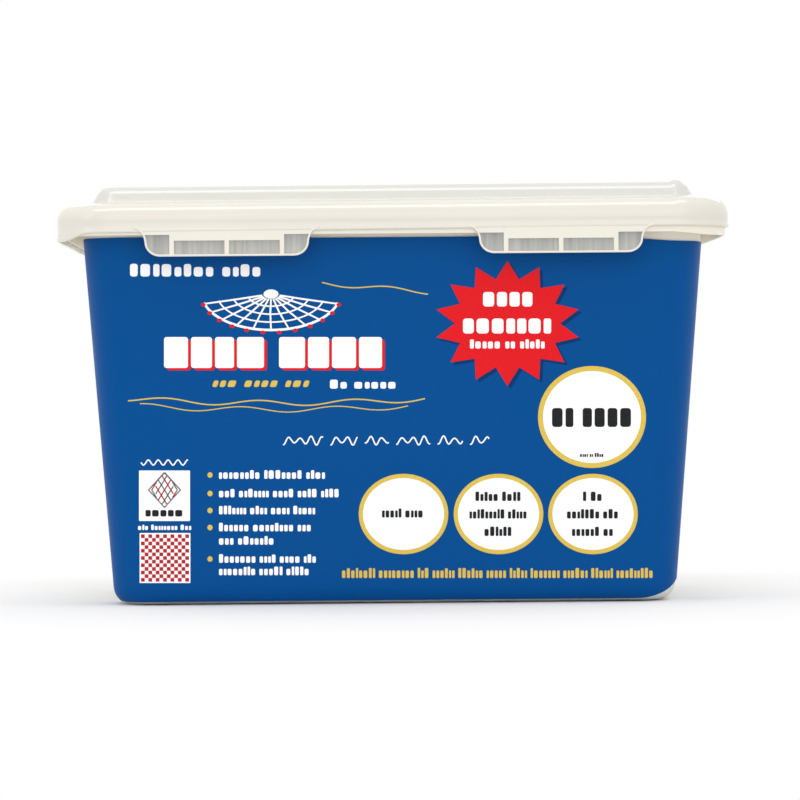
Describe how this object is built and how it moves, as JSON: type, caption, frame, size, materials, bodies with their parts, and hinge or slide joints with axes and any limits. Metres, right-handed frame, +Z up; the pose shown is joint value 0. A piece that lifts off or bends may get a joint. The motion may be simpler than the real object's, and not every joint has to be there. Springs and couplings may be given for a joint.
{
  "type": "cast net in a lidded tub",
  "caption": "Throw net folded into a translucent lidded storage tub, with its horn, swivel, hand line, wrist cuff and weighted lead line; the lid lifts off and its tabs flex.",
  "frame": {"origin": "on the floor under the middle of the tub", "axes": "+Z up, +X along the tub's long side, labelled front faces -Y"},
  "size_m": [0.3364, 0.222, 0.209],
  "materials": {
    "tub_plastic": "translucent milky polypropylene, soft gloss",
    "lid_plastic": "translucent milky polypropylene, soft gloss",
    "label_print": "glossy printed film",
    "netting": "clear nylon monofilament",
    "white_cord": "braided poly",
    "monofilament": "clear heavy monofilament",
    "stainless": "polished stainless steel",
    "lead": "dull oxidised lead",
    "horn_plastic": "moulded plastic",
    "foam": "closed-cell foam",
    "webbing": "woven webbing",
    "tie": "hook and loop strap"
  },
  "bodies": {
    "tub": {"tub": "tub_plastic", "front_label": "label_print", "net_pile": "netting", "net_neck": "netting", "brail_lines": "monofilament", "brail_crimp": "stainless", "brail_loop": "monofilament", "swivel_eye_brail": "stainless", "hand_line_run_a": "white_cord", "hand_line_coil": "white_cord", "hand_line_run_b": "white_cord", "line_tie_1": "tie", "line_tie_2": "tie", "cuff_pad": "foam", "cuff_webbing": "webbing", "cuff_keeper": "stainless", "lead_line_loop": "white_cord", "lead_line_coil": "lead", "lead_weight_01": "lead", "lead_weight_02": "lead", "lead_weight_03": "lead", "lead_weight_04": "lead", "lead_weight_05": "lead", "lead_weight_06": "lead", "lead_weight_07": "lead", "lead_weight_08": "lead", "lead_weight_09": "lead", "lead_weight_10": "lead", "lead_weight_11": "lead", "lead_weight_12": "lead", "lead_weight_13": "lead", "lead_weight_14": "lead", "lead_weight_15": "lead", "lead_weight_16": "lead", "lead_weight_17": "lead", "lead_weight_18": "lead"},
    "lid": {"lid": "lid_plastic"},
    "latch_front_left": {"latch_tab_front_left": "lid_plastic"},
    "latch_front_right": {"latch_tab_front_right": "lid_plastic"},
    "latch_back_left": {"latch_tab_back_left": "lid_plastic"},
    "latch_back_right": {"latch_tab_back_right": "lid_plastic"},
    "horn": {"horn": "horn_plastic", "top_selvage_tie": "white_cord"},
    "swivel_barrel": {"swivel_barrel": "stainless"},
    "swivel_line_side": {"swivel_eye_line": "stainless", "hand_line_loop": "white_cord"}
  },
  "joints": [
    {"name": "lid_lift", "type": "slide", "parent": "tub", "child": "lid", "axis": [0, 0, 1], "range_m": [0, 0.15]},
    {"name": "latch_front_left_flex", "type": "hinge", "parent": "lid", "child": "latch_front_left", "pos_m": [-0.0825, -0.11033, 0.18685], "axis": [-1, 0, 0], "range_deg": [0, 15], "stiffness_Nm_per_rad": 0.1},
    {"name": "latch_front_right_flex", "type": "hinge", "parent": "lid", "child": "latch_front_right", "pos_m": [0.0825, -0.11033, 0.18685], "axis": [-1, 0, 0], "range_deg": [0, 15], "stiffness_Nm_per_rad": 0.1},
    {"name": "latch_back_left_flex", "type": "hinge", "parent": "lid", "child": "latch_back_left", "pos_m": [-0.0825, 0.11033, 0.18685], "axis": [1, 0, 0], "range_deg": [0, 15], "stiffness_Nm_per_rad": 0.1},
    {"name": "latch_back_right_flex", "type": "hinge", "parent": "lid", "child": "latch_back_right", "pos_m": [0.0825, 0.11033, 0.18685], "axis": [1, 0, 0], "range_deg": [0, 15], "stiffness_Nm_per_rad": 0.1},
    {"name": "horn_slide", "type": "slide", "parent": "tub", "child": "horn", "axis": [1, 0, 0], "range_m": [0, 0.014]},
    {"name": "swivel_barrel_turn", "type": "hinge", "parent": "tub", "child": "swivel_barrel", "pos_m": [0.074, -0.038, 0.152], "axis": [1, 0, 0], "continuous": true},
    {"name": "swivel_line_turn", "type": "hinge", "parent": "swivel_barrel", "child": "swivel_line_side", "pos_m": [0.074, -0.038, 0.152], "axis": [1, 0, 0], "continuous": true}
  ]
}
